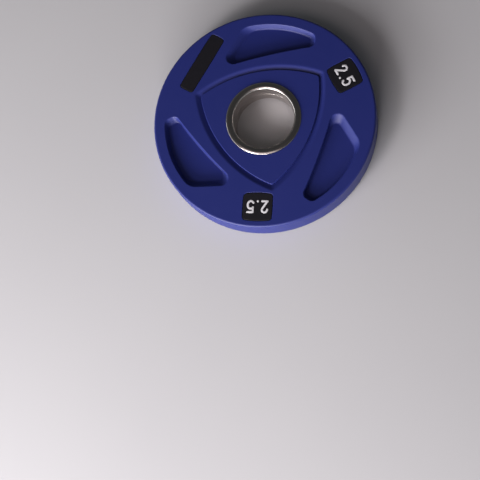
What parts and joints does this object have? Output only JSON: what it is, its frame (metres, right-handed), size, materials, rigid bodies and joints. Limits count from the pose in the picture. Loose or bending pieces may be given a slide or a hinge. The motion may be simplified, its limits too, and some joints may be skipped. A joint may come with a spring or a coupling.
{
  "type": "weight plate",
  "caption": "Small round weight plate: iron core in a coloured urethane casing with finger pockets, a flanged steel hub for a bar sleeve, and inlaid number badges on both faces.",
  "frame": {"origin": "on the axis of the bore, in the plane of the rear hub flange that the plate lies on", "axes": "+Z along the bore axis out of the front face; +Y away from the first number badge, so that badge is towards -Y; +X to the right of a reader who faces the front with +Y up"},
  "size_m": [0.186, 0.186, 0.0244],
  "materials": {
    "blue_urethane": "satin moulded urethane",
    "cast_iron": "rough as cast",
    "stainless_steel": "turned and polished",
    "black_rubber": "matt moulded rubber",
    "white_rubber": "matt moulded rubber"
  },
  "bodies": {
    "root": {"urethane_casing": "blue_urethane", "iron_core": "cast_iron", "front_hub_sleeve": "stainless_steel", "rear_hub_sleeve": "stainless_steel", "front_number_badge_1": "black_rubber", "front_number_badge_2": "black_rubber", "front_plain_badge": "black_rubber", "rear_number_badge_1": "black_rubber", "rear_number_badge_2": "black_rubber", "rear_plain_badge": "black_rubber", "front_digit_two_1": "white_rubber", "front_decimal_point_1": "white_rubber", "front_digit_five_1": "white_rubber", "front_digit_two_2": "white_rubber", "front_decimal_point_2": "white_rubber", "front_digit_five_2": "white_rubber", "rear_digit_two_1": "white_rubber", "rear_decimal_point_1": "white_rubber", "rear_digit_five_1": "white_rubber", "rear_digit_two_2": "white_rubber", "rear_decimal_point_2": "white_rubber", "rear_digit_five_2": "white_rubber"}
  },
  "joints": []
}
